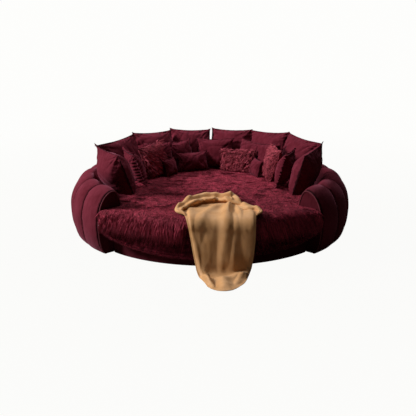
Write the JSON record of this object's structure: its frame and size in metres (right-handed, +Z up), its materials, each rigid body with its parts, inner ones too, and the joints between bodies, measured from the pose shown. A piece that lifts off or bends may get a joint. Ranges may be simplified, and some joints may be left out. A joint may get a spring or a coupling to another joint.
{
  "type": "round bed",
  "caption": "Round lounging bed: a channelled velvet bolster ring, open at the front, round a fur-covered mattress with loose cushions and a draped throw.",
  "frame": {"origin": "on the floor at the centre of the bolster ring, under the middle glide", "axes": "+Z up, -Y out through the open front of the bed, +X to the right of someone facing it"},
  "size_m": [2.897, 3.289, 0.9256],
  "materials": {
    "velvet": "matte",
    "fur": "matte",
    "satin": "satin",
    "foam": "matte",
    "ticking": "matte",
    "dust_cloth": "matte",
    "plywood": "matte",
    "glide_plastic": "matte",
    "zinc_steel": "satin"
  },
  "bodies": {
    "bed_frame": {"base_glides": "glide_plastic", "bolster_glides": "glide_plastic", "dust_cover": "dust_cloth", "joining_plates": "zinc_steel", "joining_screws": "zinc_steel", "base_bottom_ring": "plywood", "base_hub": "plywood", "base_beams": "plywood", "base_rim": "plywood", "deck_left": "plywood", "deck_right": "plywood", "deck_bolts": "zinc_steel", "base_foam": "foam", "base_cover": "velvet", "bolster_low_rails_left": "plywood", "bolster_low_rails_right": "plywood", "bolster_top_rails_left": "plywood", "bolster_top_rails_right": "plywood", "bolster_inner_panels_left": "plywood", "bolster_inner_panels_right": "plywood", "bolster_ribs_left": "plywood", "bolster_ribs_right": "plywood", "bolster_left_arm": "velvet", "bolster_back_left": "velvet", "bolster_back_right": "velvet", "bolster_right_arm": "velvet", "end_panel_left": "velvet", "end_panel_right": "velvet", "end_piping_left": "velvet", "end_piping_right": "velvet"},
    "mattress": {"mattress_core": "foam", "mattress_topper": "foam", "mattress_casing": "ticking", "fur_cover": "fur"},
    "back_cushion_1": {"back_cushion_1": "velvet"},
    "back_cushion_2": {"back_cushion_2": "velvet"},
    "back_cushion_3": {"back_cushion_3": "velvet"},
    "back_cushion_4": {"back_cushion_4": "velvet"},
    "back_cushion_5": {"back_cushion_5": "velvet"},
    "back_cushion_6": {"back_cushion_6": "velvet"},
    "arm_cushion_left": {"arm_cushion_left": "velvet"},
    "arm_cushion_right": {"arm_cushion_right": "velvet"},
    "ruffled_cushion_left": {"ruffled_cushion_left": "velvet"},
    "ruffled_cushion_right": {"ruffled_cushion_right": "velvet"},
    "fur_cushion_left": {"fur_cushion_left": "fur"},
    "fur_cushion_right": {"fur_cushion_right": "fur"},
    "fur_lumbar": {"fur_lumbar": "fur"},
    "velvet_lumbar": {"velvet_lumbar": "velvet"},
    "centre_cushion": {"centre_cushion": "velvet"},
    "inner_cushion_1": {"inner_cushion_1": "velvet"},
    "inner_cushion_2": {"inner_cushion_2": "velvet"},
    "inner_cushion_3": {"inner_cushion_3": "velvet"},
    "inner_cushion_4": {"inner_cushion_4": "velvet"},
    "small_cushion_left": {"small_cushion_left": "velvet"},
    "small_cushion_right": {"small_cushion_right": "velvet"},
    "throw": {"throw": "satin"}
  },
  "joints": [
    {"name": "mattress_lift", "type": "slide", "parent": "bed_frame", "child": "mattress", "axis": [0, 0, 1], "range_m": [0, 0.3]},
    {"name": "back_cushion_1_lift", "type": "slide", "parent": "mattress", "child": "back_cushion_1", "axis": [-0.211, 0.2024, 0.9563], "range_m": [0, 0.3]},
    {"name": "back_cushion_2_lift", "type": "slide", "parent": "mattress", "child": "back_cushion_2", "axis": [-0.1418, 0.2857, 0.9478], "range_m": [0, 0.3]},
    {"name": "back_cushion_3_lift", "type": "slide", "parent": "mattress", "child": "back_cushion_3", "axis": [-0.0496, 0.3318, 0.9421], "range_m": [0, 0.3]},
    {"name": "back_cushion_4_lift", "type": "slide", "parent": "mattress", "child": "back_cushion_4", "axis": [0.0834, 0.3249, 0.9421], "range_m": [0, 0.3]},
    {"name": "back_cushion_5_lift", "type": "slide", "parent": "mattress", "child": "back_cushion_5", "axis": [0.1831, 0.2386, 0.9537], "range_m": [0, 0.3]},
    {"name": "back_cushion_6_lift", "type": "slide", "parent": "mattress", "child": "back_cushion_6", "axis": [0.3281, 0.1252, 0.9363], "range_m": [0, 0.3]},
    {"name": "arm_cushion_left_lift", "type": "slide", "parent": "mattress", "child": "arm_cushion_left", "axis": [-0.3148, -0.2147, 0.9245], "range_m": [0, 0.3]},
    {"name": "arm_cushion_right_lift", "type": "slide", "parent": "mattress", "child": "arm_cushion_right", "axis": [0.2776, -0.1433, 0.95], "range_m": [0, 0.3]},
    {"name": "ruffled_cushion_left_lift", "type": "slide", "parent": "mattress", "child": "ruffled_cushion_left", "axis": [-0.3244, -0.1363, 0.9361], "range_m": [0, 0.3]},
    {"name": "ruffled_cushion_right_lift", "type": "slide", "parent": "mattress", "child": "ruffled_cushion_right", "axis": [0.2514, -0.0955, 0.9632], "range_m": [0, 0.3]},
    {"name": "fur_cushion_left_lift", "type": "slide", "parent": "mattress", "child": "fur_cushion_left", "axis": [-0.3403, 0.0866, 0.9363], "range_m": [0, 0.3]},
    {"name": "fur_cushion_right_lift", "type": "slide", "parent": "mattress", "child": "fur_cushion_right", "axis": [0.3091, -0.0621, 0.949], "range_m": [0, 0.3]},
    {"name": "fur_lumbar_lift", "type": "slide", "parent": "mattress", "child": "fur_lumbar", "axis": [-0.02, 0.2112, 0.9772], "range_m": [0, 0.3]},
    {"name": "velvet_lumbar_lift", "type": "slide", "parent": "mattress", "child": "velvet_lumbar", "axis": [-0.0691, 0.1997, 0.9774], "range_m": [0, 0.3]},
    {"name": "centre_cushion_lift", "type": "slide", "parent": "mattress", "child": "centre_cushion", "axis": [0.021, 0.2732, 0.9617], "range_m": [0, 0.3]},
    {"name": "inner_cushion_1_lift", "type": "slide", "parent": "mattress", "child": "inner_cushion_1", "axis": [-0.1325, 0.2512, 0.9588], "range_m": [0, 0.3]},
    {"name": "inner_cushion_2_lift", "type": "slide", "parent": "mattress", "child": "inner_cushion_2", "axis": [-0.1556, 0.2169, 0.9637], "range_m": [0, 0.3]},
    {"name": "inner_cushion_3_lift", "type": "slide", "parent": "mattress", "child": "inner_cushion_3", "axis": [0.1356, 0.2145, 0.9673], "range_m": [0, 0.3]},
    {"name": "inner_cushion_4_lift", "type": "slide", "parent": "mattress", "child": "inner_cushion_4", "axis": [0.1076, 0.1296, 0.9857], "range_m": [0, 0.3]},
    {"name": "small_cushion_left_lift", "type": "slide", "parent": "mattress", "child": "small_cushion_left", "axis": [-0.2694, 0.1373, 0.9532], "range_m": [0, 0.3]},
    {"name": "small_cushion_right_lift", "type": "slide", "parent": "mattress", "child": "small_cushion_right", "axis": [0.2536, 0.0727, 0.9646], "range_m": [0, 0.3]},
    {"name": "throw_lift", "type": "slide", "parent": "mattress", "child": "throw", "axis": [0, 0, 1], "range_m": [0, 0.3]}
  ]
}
